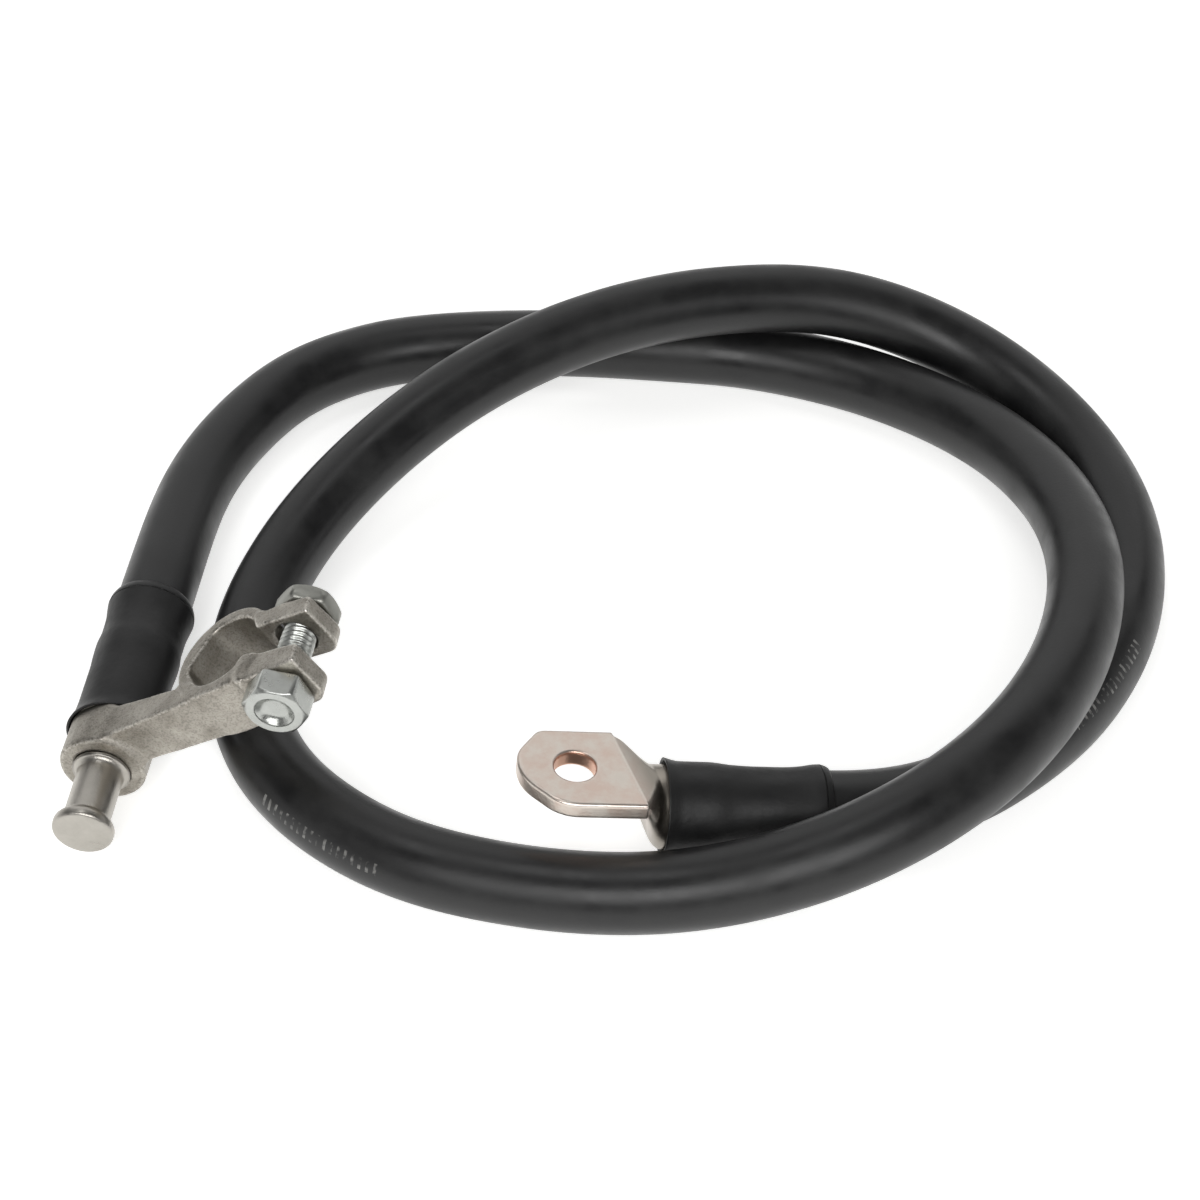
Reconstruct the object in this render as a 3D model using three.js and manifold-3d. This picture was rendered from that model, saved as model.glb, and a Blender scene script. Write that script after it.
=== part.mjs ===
// Battery ground cable: a thick rubber-covered cable laid in a loop and a half, with a cast battery-post
// clamp and contact stud crimped to one end and a tinned ring lug crimped to the other.
// Millimetres, +Z up, z = 0 is the level surface that the cable lies on.
import * as THREE from "three";
import { mergeVertices } from "three/addons/utils/BufferGeometryUtils.js";
import { ConvexGeometry } from "three/addons/geometries/ConvexGeometry.js";
import Module from "manifold-3d";

// Fits shared by the pieces
const seatGap = 0.3; // left between pieces that touch on the real cable
const roundSides = 40; // facets round a turned piece

// Cable
const cableDiameter = 16.5;
const cableSides = 12;
const cableStep = 13; // length of one straight piece of the tube

// The cable's centreline from the lug's barrel to the stud's barrel. The first three points and the last
// three lie on straight lines, because the cable is held straight inside the sleeves.
const cableRoute = [
  [61.3, -23.9, 12.4], [73.2, -23.1, 11.0], [85.0, -22.2, 9.7], [98.5, -19.0, 8.5],
  [112.7, -11.8, 8.4], [133.5, 7.1, 8.3], [148.8, 35.2, 8.3], [152.8, 67.0, 8.4],
  [143.8, 97.9, 9.5], [122.1, 120.3, 15.1], [92.2, 128.3, 23.2], [60.6, 124.6, 26.9],
  [30.3, 115.0, 26.4], [2.4, 99.5, 22.4], [-21.4, 78.9, 15.8], [-38.7, 52.6, 10.0],
  [-45.0, 21.3, 8.4], [-36.1, -9.3, 8.5], [-12.7, -30.9, 8.5], [17.8, -41.0, 8.6],
  [49.5, -44.5, 11.9], [80.2, -41.4, 20.6], [107.6, -26.2, 26.0], [127.2, -0.8, 25.8],
  [137.5, 29.6, 23.1], [137.6, 61.7, 17.1], [126.0, 91.0, 11.6], [102.6, 113.3, 8.7],
  [73.0, 125.6, 8.3], [44.9, 129.4, 8.5], [20.2, 131.3, 8.4], [-1.9, 130.8, 8.3],
  [-23.1, 126.8, 8.3], [-41.6, 116.0, 8.3], [-53.8, 98.8, 8.5], [-61.8, 78.6, 8.7],
  [-66.0, 44.7, 9.9], [-67.1, 32.7, 9.9], [-68.2, 20.7, 9.9],
].map(([x, y, z]) => new THREE.Vector3(x, y, z));

// Crimp barrels and shrink sleeves
const barrelDiameter = 17.2; // both barrels, over the crimped strands
const sleeveBore = Math.max(cableDiameter, barrelDiameter) / 2 + seatGap;
const sleeveWall = 0.7;
const sleeveFlare = 0.3; // how far each sleeve's lip opens past its bore
const sleeveFlareLength = 4;

// Ring lug, in its own frame: X from the barrel's mouth to the tip, Z up
const lugBarrelLength = 17;
const lugHoleDistance = 35; // barrel mouth to hole
const lugHoleDiameter = 8.4; // clears an M8 bolt
const palmSides = [-10.6, 11.1]; // the palm's two straight sides
const palmSideEnds = [41.9, 38.4]; // where each side turns in towards the tip
const palmTip = 46.5;
const palmTipEnds = [-3.9, 2.8]; // the tip's straight part
const palmCorner = 3; // rounding of the outline's corners
const palmThickness = 3.8;
const palmRise = 2; // palm's top face above the barrel's top
const lugNeckLength = 7;
const lugTwist = 5.8; // degrees, the palm turned about the barrel's axis
const lugSleeveOnBarrel = 16;
const lugSleeveOnCable = 18;

// Contact stud, turned in one piece with its crimp barrel. Distances run along its axis from the centre
// of the post bore, negative towards the mushroom head.
const studHeadFace = -29.6;
const studHeadThickness = 2.9;
const studHeadDiameter = 12.9;
const studPinDiameter = 9.6;
const studPinFillet = 1.2;
const studCollarDiameter = 12;
const studCollarThickness = 0.9;
const studNeckDiameter = 10.6; // through the clamp's eye
const studBarrelEnd = 19.6;
const studSleeveLip = -1.3;
const studSleeveEnd = 35;

// Clamp, in its own frame: X along the arm, Y back along the stud and the bolt, Z up the post bore
const clampRise = 34.5; // degrees, how far the arm is tilted up from level
const clampYaw = 1.4; // degrees, how far the eye stands off square to the stud
const clampSideways = 0.3; // eye's centre off the stud's axis
const armFront = -11.4;
// The arm's back and its underside, from the eye to the ring
const armBack = [[0, -1.9], [5.3, -2.6], [14.3, -4], [26.9, -5.9]];
const armUnderside = [[0, -3.3], [11, -3.4], [29, -4.8], [35.8, -5.3]];
const eyeDiameter = 18.2;
const eyeFront = -12.2;
const eyeBack = -1.9;
const armTopAboveStud = 7.1;
const postBoreDistance = 35.8; // stud axis to post bore
const postBoreDiameter = 17.6; // over a negative battery post
const ringWall = 2.8;
const ringHeight = 12.4;
const earReach = 22; // post bore to the ears' ends
const earThickness = 5.5; // at the bolt
const nearEarFront = -12.1;
const earGap = 8.3; // between the two ears at the bolt
const earRoot = 7.5; // post bore to where the ears start
const earLean = 0.14; // the ears' inner faces lean this much per millimetre of their length
const earChamfer = 2.2; // cut off the ears' lower outer corners
const nutSeatRoom = 1.3; // flat left round the nut
const eyeClearance = 0.6; // round the stud's neck

// Clamp bolt and nut, M8
const boltFromEarEnd = 7.6;
const boltBelowTop = 6.1;
const boltDiameter = 7.6;
const boltHoleDiameter = 8.8;
const hexAcrossFlats = 12; // the small series of M8
const boltHeadHeight = 5.8;
const boltHeadTurn = 10; // degrees
const boltLength = 25;
const boltRecessDiameter = 7.4;
const boltRecessDepth = 1.4;
const nutHeight = 4; // a thin nut
const nutTurn = 12; // degrees
const hexChamfer = 0.9;

const wasm = await Module();
wasm.setup();

// A closed three.js geometry as a solid, placed by an optional matrix
function solid(geometry, matrix) {
  const bare = geometry.clone();
  bare.deleteAttribute("normal");
  bare.deleteAttribute("uv");
  if (matrix) bare.applyMatrix4(matrix);
  const merged = mergeVertices(bare, 1e-4);
  return new wasm.Manifold(
    new wasm.Mesh({
      numProp: 3,
      vertProperties: merged.attributes.position.array,
      triVerts: new Uint32Array(merged.index.array),
    }),
  );
}

// The finished solid as a named mesh
function meshOf(name, shape, material) {
  const { vertProperties, triVerts } = shape.getMesh();
  const geometry = new THREE.BufferGeometry();
  geometry.setAttribute("position", new THREE.BufferAttribute(vertProperties, 3));
  geometry.setIndex(new THREE.BufferAttribute(triVerts, 1));
  geometry.computeVertexNormals();
  const mesh = new THREE.Mesh(geometry, material);
  mesh.name = name;
  return mesh;
}

// A [radius, height] profile turned about Y. It starts and ends on the axis or closes on itself.
function turned(profile, sides = roundSides) {
  return new THREE.LatheGeometry(profile.map(([r, h]) => new THREE.Vector2(r, h)), sides);
}

// The same profile turned about the X axis, its heights running along +X
function turnedAlongX(profile) {
  return solid(turned(profile), new THREE.Matrix4().makeRotationZ(-Math.PI / 2));
}

function cylinder(radius, from, to) {
  return [[0, from], [radius, from], [radius, to], [0, to]];
}

// An outline in X and Y carried from one height to another
function slab(shape, low, high) {
  const options = { depth: high - low, bevelEnabled: false, curveSegments: roundSides / 2 };
  return solid(new THREE.ExtrudeGeometry(shape, options), new THREE.Matrix4().makeTranslation(0, 0, low));
}

// An outline in X and Z carried along Y
function upright(shape, front, back) {
  const turn = new THREE.Matrix4().makeRotationX(Math.PI / 2);
  return slab(shape, -back, -front).transform(turn.elements);
}

function outline(points) {
  return new THREE.Shape(points.map(([x, y]) => new THREE.Vector2(x, y)));
}

function circle(x, y, radius) {
  return new THREE.Shape().absarc(x, y, radius, 0, 2 * Math.PI);
}

// An outline whose corners are rounded, each from a radius before it to a radius after it
function roundedOutline(points, radius) {
  const corners = points.map(([x, y]) => new THREE.Vector2(x, y));
  const shape = new THREE.Shape();
  corners.forEach((corner, i) => {
    const last = corners.at(i - 1);
    const next = corners[(i + 1) % corners.length];
    const from = corner.clone().add(last.clone().sub(corner).setLength(radius));
    const to = corner.clone().add(next.clone().sub(corner).setLength(radius));
    if (i === 0) shape.moveTo(from.x, from.y);
    else shape.lineTo(from.x, from.y);
    shape.quadraticCurveTo(corner.x, corner.y, to.x, to.y);
  });
  shape.closePath();
  return shape;
}

function box([x0, x1], [y0, y1], [z0, z1]) {
  const place = new THREE.Matrix4().makeTranslation((x0 + x1) / 2, (y0 + y1) / 2, (z0 + z1) / 2);
  return solid(new THREE.BoxGeometry(x1 - x0, y1 - y0, z1 - z0), place);
}

// The profile of a sleeve shrunk over a barrel and the cable, from the lip that flares open to the far end
function sleeveProfile(lip, end) {
  const straight = lip + Math.sign(end - lip) * sleeveFlareLength;
  const profile = [
    [sleeveBore, end],
    [sleeveBore, straight],
    [sleeveBore + sleeveFlare, lip],
    [sleeveBore + sleeveFlare + sleeveWall, lip],
    [sleeveBore + sleeveWall, straight],
    [sleeveBore + sleeveWall, end],
    [sleeveBore, end],
  ];
  return lip < end ? profile : profile.reverse();
}

const steel = new THREE.MeshStandardMaterial({ color: 0x9a948a, roughness: 0.45, metalness: 0.9 });
const zinc = new THREE.MeshStandardMaterial({ color: 0xb0b4b0, roughness: 0.35, metalness: 0.9 });
const tinnedCopper = new THREE.MeshStandardMaterial({ color: 0xc8bfb5, roughness: 0.35, metalness: 0.9 });
const rubber = new THREE.MeshStandardMaterial({ color: 0x262628, roughness: 0.55, metalness: 0 });
const shrinkSleeve = new THREE.MeshStandardMaterial({ color: 0x1d1d1e, roughness: 0.7, metalness: 0 });

// Cable

function cableSolid() {
  const curve = new THREE.CatmullRomCurve3(cableRoute, false, "centripetal");
  curve.arcLengthDivisions = 2000;
  const section = new THREE.Shape();
  section.absarc(0, 0, cableDiameter / 2, 0, 2 * Math.PI);
  const steps = Math.round(curve.getLength() / cableStep);
  // A full circle gets twice as many sides as curve segments.
  const options = { steps, extrudePath: curve, curveSegments: cableSides / 2, bevelEnabled: false };
  return solid(new THREE.ExtrudeGeometry(section, options));
}

// Ring lug

const barrelRadius = barrelDiameter / 2;
const palmTop = barrelRadius + palmRise;
const palmStart = lugBarrelLength + lugNeckLength;

function palmOutline() {
  const [farSide, nearSide] = palmSides;
  const shape = roundedOutline([
    [palmStart, nearSide],
    [palmStart, farSide],
    [palmSideEnds[0], farSide],
    [palmTip, palmTipEnds[0]],
    [palmTip, palmTipEnds[1]],
    [palmSideEnds[1], nearSide],
  ], palmCorner);
  const hole = new THREE.Path();
  hole.absarc(lugHoleDistance, 0, lugHoleDiameter / 2, 0, 2 * Math.PI, true);
  shape.holes.push(hole);
  return shape;
}

function lugSolid() {
  const twist = new THREE.Matrix4().makeRotationX(THREE.MathUtils.degToRad(lugTwist));
  const palm = slab(palmOutline(), palmTop - palmThickness, palmTop);
  // The neck is the hull between the round barrel and the flat palm.
  const points = [];
  for (let i = 0; i < roundSides; i++) {
    const angle = (i / roundSides) * 2 * Math.PI;
    const rim = new THREE.Vector3(0, barrelRadius * Math.cos(angle), barrelRadius * Math.sin(angle));
    points.push(rim.clone().setX(lugBarrelLength - seatGap), rim.clone().setX(lugBarrelLength));
  }
  for (const y of palmSides) {
    for (const z of [palmTop - palmThickness, palmTop]) {
      points.push(new THREE.Vector3(palmStart, y, z), new THREE.Vector3(palmStart + palmCorner, y, z));
    }
  }
  const neck = solid(new ConvexGeometry(points));
  const barrel = turnedAlongX(cylinder(barrelRadius, 0, lugBarrelLength));
  return palm.add(neck).transform(twist.elements).add(barrel);
}

// Contact stud

const collarFace = eyeFront - studCollarThickness;

function studProfile() {
  const head = studHeadDiameter / 2;
  const pin = studPinDiameter / 2;
  const headBack = studHeadFace + studHeadThickness;
  const round = studHeadThickness / 3;
  return [
    [0, studHeadFace],
    [head - round, studHeadFace],
    [head, studHeadFace + round],
    [head, headBack - round],
    [head - round, headBack],
    [pin, headBack],
    [pin, collarFace - studPinFillet],
    [pin + studPinFillet, collarFace],
    [studCollarDiameter / 2, collarFace],
    [studCollarDiameter / 2, eyeFront - seatGap],
    [studNeckDiameter / 2, eyeFront - seatGap],
    [studNeckDiameter / 2, eyeBack + seatGap],
    [barrelRadius, eyeBack + seatGap],
    [barrelRadius, studBarrelEnd],
    [0, studBarrelEnd],
  ];
}

// Clamp

const postBoreRadius = postBoreDiameter / 2;
const ringRadius = postBoreRadius + ringWall;
const earEnd = postBoreDistance + earReach;
const earStart = postBoreDistance + earRoot;
const boltX = earEnd - boltFromEarEnd;
const boltZ = armTopAboveStud - boltBelowTop;
const nearEarBack = nearEarFront + earThickness;
const farEarFront = nearEarBack + earGap;
const farEarBack = farEarFront + earThickness;
const past = 1; // how far a cutting shape runs past the metal

// Where a face that leans with the ears stands at a distance along the arm
function leaning(y, x) {
  return y - earLean * (x - boltX);
}

function clampSolid() {
  const top = armTopAboveStud;
  const ringBottom = top - ringHeight;
  const armPlan = outline([[0, armFront], [earStart, armFront], [earStart, nearEarBack], ...armBack.toReversed()]);
  const armSide = outline([[0, top], ...armUnderside, [earStart, armUnderside.at(-1)[1]], [earStart, top]]);
  const arm = slab(armPlan, ringBottom, top).intersect(upright(armSide, armFront, farEarBack));
  const ring = slab(circle(postBoreDistance, 0, ringRadius), ringBottom, top);
  const cutFront = box([0, earEnd], [-2 * ringRadius, armFront], [ringBottom - past, top + past]);
  // The ears lean a little towards the front, and the nut's seat stays square.
  const nearEar = slab(outline([
    [earStart, nearEarFront],
    [earEnd, nearEarFront],
    [earEnd, leaning(nearEarBack, earEnd)],
    [earStart, leaning(nearEarBack, earStart)],
  ]), ringBottom, top);
  const farEar = slab(outline([
    [earStart - ringWall, leaning(farEarFront, earStart - ringWall)],
    [earEnd, leaning(farEarFront, earEnd)],
    [earEnd, leaning(farEarBack, earEnd)],
    [boltX, farEarBack],
    [earStart - ringWall, farEarBack],
  ]), ringBottom, top);
  const earSide = upright(outline([
    [earStart - ringWall, top],
    [earStart - ringWall, ringBottom],
    [earEnd - earChamfer, ringBottom],
    [earEnd, ringBottom + earChamfer],
    [earEnd, top],
  ]), nearEarFront, ringRadius);
  const eye = solid(turned(cylinder(eyeDiameter / 2, eyeFront, eyeBack)));
  let shape = nearEar.add(farEar).intersect(earSide).add(ring.subtract(cutFront)).add(arm).add(eye);
  shape = shape.subtract(slab(circle(postBoreDistance, 0, postBoreRadius), ringBottom - past, top + past));
  const slot = outline([
    [postBoreDistance, leaning(nearEarBack, earStart)],
    [earStart, leaning(nearEarBack, earStart)],
    [earEnd + past, leaning(nearEarBack, earEnd + past)],
    [earEnd + past, leaning(farEarFront, earEnd + past)],
    [earStart, leaning(farEarFront, earStart)],
    [postBoreDistance, leaning(farEarFront, earStart)],
  ]);
  shape = shape.subtract(slab(slot, ringBottom - past, top + past));
  // The ring's wall is cut back behind the far ear, so the nut seats flat.
  const nutRoom = [boltX - hexAcrossFlats / 2 - nutSeatRoom, earEnd + past];
  shape = shape.subtract(box(nutRoom, [farEarBack, ringRadius + past], [ringBottom - past, top + past]));
  const studHole = turned(cylinder(studNeckDiameter / 2 + eyeClearance, eyeFront - past, eyeBack + past));
  const boltHole = turned(cylinder(boltHoleDiameter / 2, nearEarFront - past, farEarBack + past));
  const boltPlace = new THREE.Matrix4().makeTranslation(boltX, 0, boltZ);
  return shape.subtract(solid(studHole)).subtract(solid(boltHole, boltPlace));
}

// A hexagonal prism about the Y axis from its seat to its outer face, whose corners are chamfered
function hexPrism(seat, face, turn) {
  const outwards = Math.sign(face - seat);
  const corner = hexAcrossFlats / 2 / Math.cos(Math.PI / 6);
  const rim = hexAcrossFlats / 2 - hexChamfer / 4;
  const hex = cylinder(corner, seat, face);
  const cone = [[0, seat], [corner + past, seat], [corner + past, face - outwards * hexChamfer], [rim, face], [0, face]];
  const place = new THREE.Matrix4().makeRotationY(THREE.MathUtils.degToRad(turn));
  const upwards = (profile) => (outwards > 0 ? profile : profile.reverse());
  return solid(turned(upwards(hex), 6), place).intersect(solid(turned(upwards(cone))));
}

const boltSeat = nearEarFront - seatGap;
const nutSeat = farEarBack + seatGap;

function boltSolid() {
  const face = boltSeat - boltHeadHeight;
  const recess = turned(cylinder(boltRecessDiameter / 2, face - past, face + boltRecessDepth));
  const shank = turned(cylinder(boltDiameter / 2, boltSeat - past, boltSeat + boltLength));
  return hexPrism(boltSeat, face, boltHeadTurn).subtract(solid(recess)).add(solid(shank));
}

function nutSolid() {
  const bore = turned(cylinder(boltDiameter / 2 + seatGap, nutSeat - past, nutSeat + nutHeight + past));
  return hexPrism(nutSeat, nutSeat + nutHeight, nutTurn).subtract(solid(bore));
}

// Assembly

const part = new THREE.Group();
part.add(meshOf("cable", cableSolid(), rubber));

// The lug stands off the cable's first point, and its X axis runs on from the cable.
const up = new THREE.Vector3(0, 0, 1);
const lugX = cableRoute[0].clone().sub(cableRoute[1]).normalize();
const lugY = up.clone().cross(lugX).normalize();
const lugGroup = new THREE.Group();
lugGroup.quaternion.setFromRotationMatrix(
  new THREE.Matrix4().makeBasis(lugX, lugY, lugX.clone().cross(lugY)),
);
lugGroup.position.copy(cableRoute[0]).addScaledVector(lugX, seatGap);
part.add(lugGroup);
lugGroup.add(
  meshOf("cable_lug", lugSolid(), tinnedCopper),
  meshOf("lug_sleeve", turnedAlongX(sleeveProfile(lugSleeveOnBarrel, -lugSleeveOnCable)), shrinkSleeve),
);

// The stud's axis runs on from the cable's last point.
const studBack = cableRoute.at(-2).clone().sub(cableRoute.at(-1)).normalize();
const studGroup = new THREE.Group();
studGroup.quaternion.setFromUnitVectors(new THREE.Vector3(0, 1, 0), studBack);
studGroup.position.copy(cableRoute.at(-1)).addScaledVector(studBack, -(studBarrelEnd + seatGap));
part.add(studGroup);
studGroup.add(
  meshOf("contact_stud", solid(turned(studProfile())), steel),
  meshOf("clamp_sleeve", solid(turned(sleeveProfile(studSleeveLip, studSleeveEnd))), shrinkSleeve),
);

// The clamp is turned about the stud so that its arm rises, and stands a little off square to it.
const clampBack = studBack.clone().applyAxisAngle(up, THREE.MathUtils.degToRad(-clampYaw));
const level = clampBack.clone().cross(up).normalize();
const rise = THREE.MathUtils.degToRad(clampRise);
const armX = level.clone().multiplyScalar(Math.cos(rise)).addScaledVector(up, Math.sin(rise));
const clampGroup = new THREE.Group();
clampGroup.quaternion.setFromRotationMatrix(
  new THREE.Matrix4().makeBasis(armX, clampBack, armX.clone().cross(clampBack)),
);
clampGroup.position.copy(studGroup.position).addScaledVector(level, clampSideways);
part.add(clampGroup);

const boltGroup = new THREE.Group();
boltGroup.position.set(boltX, 0, boltZ);
boltGroup.add(meshOf("clamp_bolt", boltSolid(), zinc), meshOf("clamp_nut", nutSolid(), zinc));
clampGroup.add(meshOf("terminal_clamp", clampSolid(), steel), boltGroup);

export default part;
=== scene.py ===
# Battery ground cable: a thick jacketed cable laid in a loop and a half, with a cast battery-post clamp and a
# turned contact stud at one end and a tinned ring lug at the other
import math

import bmesh
import bpy
import numpy as np
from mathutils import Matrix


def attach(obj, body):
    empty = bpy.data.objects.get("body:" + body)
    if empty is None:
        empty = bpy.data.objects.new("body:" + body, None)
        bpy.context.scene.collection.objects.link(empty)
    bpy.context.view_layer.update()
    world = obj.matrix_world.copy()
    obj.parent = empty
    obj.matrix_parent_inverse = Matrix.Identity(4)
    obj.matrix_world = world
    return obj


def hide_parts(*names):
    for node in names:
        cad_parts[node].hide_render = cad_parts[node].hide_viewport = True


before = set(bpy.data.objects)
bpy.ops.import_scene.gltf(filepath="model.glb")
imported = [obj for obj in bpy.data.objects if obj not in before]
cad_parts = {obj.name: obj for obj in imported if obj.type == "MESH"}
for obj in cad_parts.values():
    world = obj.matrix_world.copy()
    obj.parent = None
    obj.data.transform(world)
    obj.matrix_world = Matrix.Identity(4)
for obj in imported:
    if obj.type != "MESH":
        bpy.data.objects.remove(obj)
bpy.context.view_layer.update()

metres = 0.001  # every size below is in millimetres, and each piece is turned to metres as its mesh is made


# Camera, floor and light

view = {
    "aim": (32.4, 48.5, 0.0),  # the point of the floor in the middle of the picture
    "elevation": 45.0,
    "distance": 540.0,
    "lens": 70.8,
}


def addCamera():
    # Stands back from the aim along the line of sight: back = (0, -cos e, sin e)
    slope = math.radians(view["elevation"])
    aim = np.array(view["aim"])
    back = np.array([0.0, -math.cos(slope), math.sin(slope)])
    data = bpy.data.cameras.new("camera")
    data.lens = view["lens"]
    data.sensor_width = 36.0
    camera = bpy.data.objects.new("camera", data)
    camera.location = (aim + back * view["distance"]) * metres
    camera.rotation_euler = (math.pi / 2 - slope, 0.0, 0.0)
    bpy.context.collection.objects.link(camera)
    bpy.context.scene.camera = camera


addCamera()
print("camera placed")


# Mesh helpers

def unit(v):
    return v / np.linalg.norm(v, axis=-1, keepdims=True)


def linear(hexColour):
    # sRGB to linear: c/12.92 below 0.04045, else ((c + 0.055)/1.055)^2.4
    c = np.array([int(hexColour[i:i + 2], 16) / 255 for i in (1, 3, 5)])
    c = np.where(c <= 0.04045, c / 12.92, ((c + 0.055) / 1.055) ** 2.4)
    return (*c.tolist(), 1.0)


def cleanMesh(mesh):
    # Merges the points at seams and poles, then turns every face outwards
    work = bmesh.new()
    work.from_mesh(mesh)
    bmesh.ops.remove_doubles(work, verts=work.verts, dist=1e-7)
    bmesh.ops.recalc_face_normals(work, faces=work.faces)
    work.to_mesh(mesh)
    work.free()


def meshObject(name, points, faces, clean=True):
    # Puts points in millimetres and faces into a mesh, in metres
    mesh = bpy.data.meshes.new(name)
    mesh.from_pydata((points * metres).tolist(), [], faces.tolist())
    if clean:
        cleanMesh(mesh)
    mesh.shade_smooth()
    piece = bpy.data.objects.new(name, mesh)
    bpy.context.collection.objects.link(piece)
    return piece


def skinFaces(rows, columns, joined=False):
    # The quads between each ring of points and the next one, the last ring joined to the first if asked
    k = np.arange(rows * columns).reshape(rows, columns)
    here = k if joined else k[:-1]
    there = np.roll(k, -1, 0) if joined else k[1:]
    return np.stack([here, np.roll(here, -1, 1), np.roll(there, -1, 1), there], -1).reshape(-1, 4)


def rounded(corners, radius, steps=5):
    # Each corner of an open outline becomes steps points of a quadratic curve from radius before the corner
    # to radius after it: (1-t)^2 a + 2t(1-t) c + t^2 b. The first and last points stay.
    c = np.asarray(corners, float)
    r = np.broadcast_to(radius, len(c) - 2)[:, None]
    before = c[1:-1] + unit(c[:-2] - c[1:-1]) * r
    after = c[1:-1] + unit(c[2:] - c[1:-1]) * r
    t = np.linspace(0, 1, steps)[None, :, None]
    arcs = (1 - t) ** 2 * before[:, None] + 2 * t * (1 - t) * c[1:-1, None] + t**2 * after[:, None]
    return np.vstack([c[:1], arcs.reshape(-1, c.shape[1]), c[-1:]])


def lathe(profile, sides):
    # Point (r, h) of the profile turned about Y: (r sin a, h, r cos a), for sides equal steps of a
    a = np.linspace(0, 2 * np.pi, sides, endpoint=False)[None, :]
    r, h = profile[:, :1], profile[:, 1:]
    return np.stack([r * np.sin(a), h + 0 * a, r * np.cos(a)], -1)


def waves(points, seed, size, octaves=3):
    # Smooth seeded noise about 0: a sum of sines of random directions, sin(k.p + f), each octave half as long
    # and half as high as the one before
    rng = np.random.default_rng(seed)
    total = np.zeros(points.shape[:-1])
    for octave in range(octaves):
        k = unit(rng.normal(size=(6, 3))) * (2 * np.pi / size * 2**octave)
        total += np.sin(points @ k.T + rng.uniform(0, 2 * np.pi, 6)).sum(-1) / 6 / 2**octave
    return total


# Solids worked out from a field: the distance to the surface, below 0 inside. Two fields join with the
# smooth minimum, which fills their corner to a fillet.

def softMin(a, b, fillet):
    # min(a, b) less a fillet where they are close: h^2 fillet / 4, h = max(fillet - |a - b|, 0) / fillet
    h = np.maximum(fillet - np.abs(a - b), 0) / fillet
    return np.minimum(a, b) - h * h * fillet / 4


def softMax(a, b, fillet):
    # max(a, b), rounded in the same way
    return -softMin(-a, -b, fillet)


def fieldMesh(field, low, high, cell):
    # Surface where field = 0. Each cell of a regular grid that the surface crosses holds one point, the mean
    # of its edges' crossings, and each grid edge that it crosses holds one quad. Two Newton steps along the
    # gradient, p - f g / |g|^2, then put the points on the surface itself.
    axes = [np.arange(a, b + cell, cell) for a, b in zip(low, high)]
    values = field(*np.meshgrid(*axes, indexing="ij"))
    shape = np.array(values.shape)
    strides = np.array([shape[1] * shape[2], shape[2], 1])
    inside = (values < 0).ravel()
    flat = values.ravel()
    total = np.zeros((flat.size, 3))
    count = np.zeros(flat.size)
    quads = []
    for axis in range(3):
        others = [i for i in range(3) if i != axis]
        index = np.arange(flat.size).reshape(shape)
        start = np.take(index, np.arange(shape[axis] - 1), axis)
        start = np.take(np.take(start, np.arange(1, shape[others[0]]), others[0]),
                        np.arange(1, shape[others[1]]), others[1]).ravel()
        crossed = start[inside[start] != inside[start + strides[axis]]]
        t = flat[crossed] / (flat[crossed] - flat[crossed + strides[axis]])
        place = np.stack(np.unravel_index(crossed, shape), -1).astype(float)
        place[:, axis] += t
        one, two = strides[others[0]], strides[others[1]]
        around = np.stack([crossed, crossed - one, crossed - one - two, crossed - two], -1)
        for k in range(4):
            np.add.at(total, around[:, k], place)
            np.add.at(count, around[:, k], 1)
        turn = inside[crossed] == (axis != 1)
        quads.append(np.where(turn[:, None], around, around[:, ::-1]))
    quads = np.vstack(quads)
    used = np.unique(quads)
    points = np.array(low) + cell * total[used] / count[used, None]
    for _ in range(2):
        f = field(*points.T)
        g = np.stack([field(*(points + d).T) - field(*(points - d).T) for d in np.eye(3) * 0.01], -1) / 0.02
        points -= g * (f / np.maximum((g**2).sum(-1), 0.1))[:, None]
    number = np.zeros(flat.size, int)
    number[used] = np.arange(len(used))
    return points, number[quads]


def edgeSharpness(field, points, reach=0.6):
    # How far the surface curves outwards: the field's mean over six points at reach, less the field itself
    steps = np.vstack([np.eye(3), -np.eye(3)]) * reach
    around = sum(field(*(points + s).T) for s in steps) / 6
    return (around - field(*points.T)) / reach


def addAttribute(piece, name, values):
    # One value for each point, which a material reads by name
    layer = piece.data.attributes.new(name, "FLOAT", "POINT")
    layer.data.foreach_set("value", np.ascontiguousarray(values, np.float32))


# The cable's route

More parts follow.
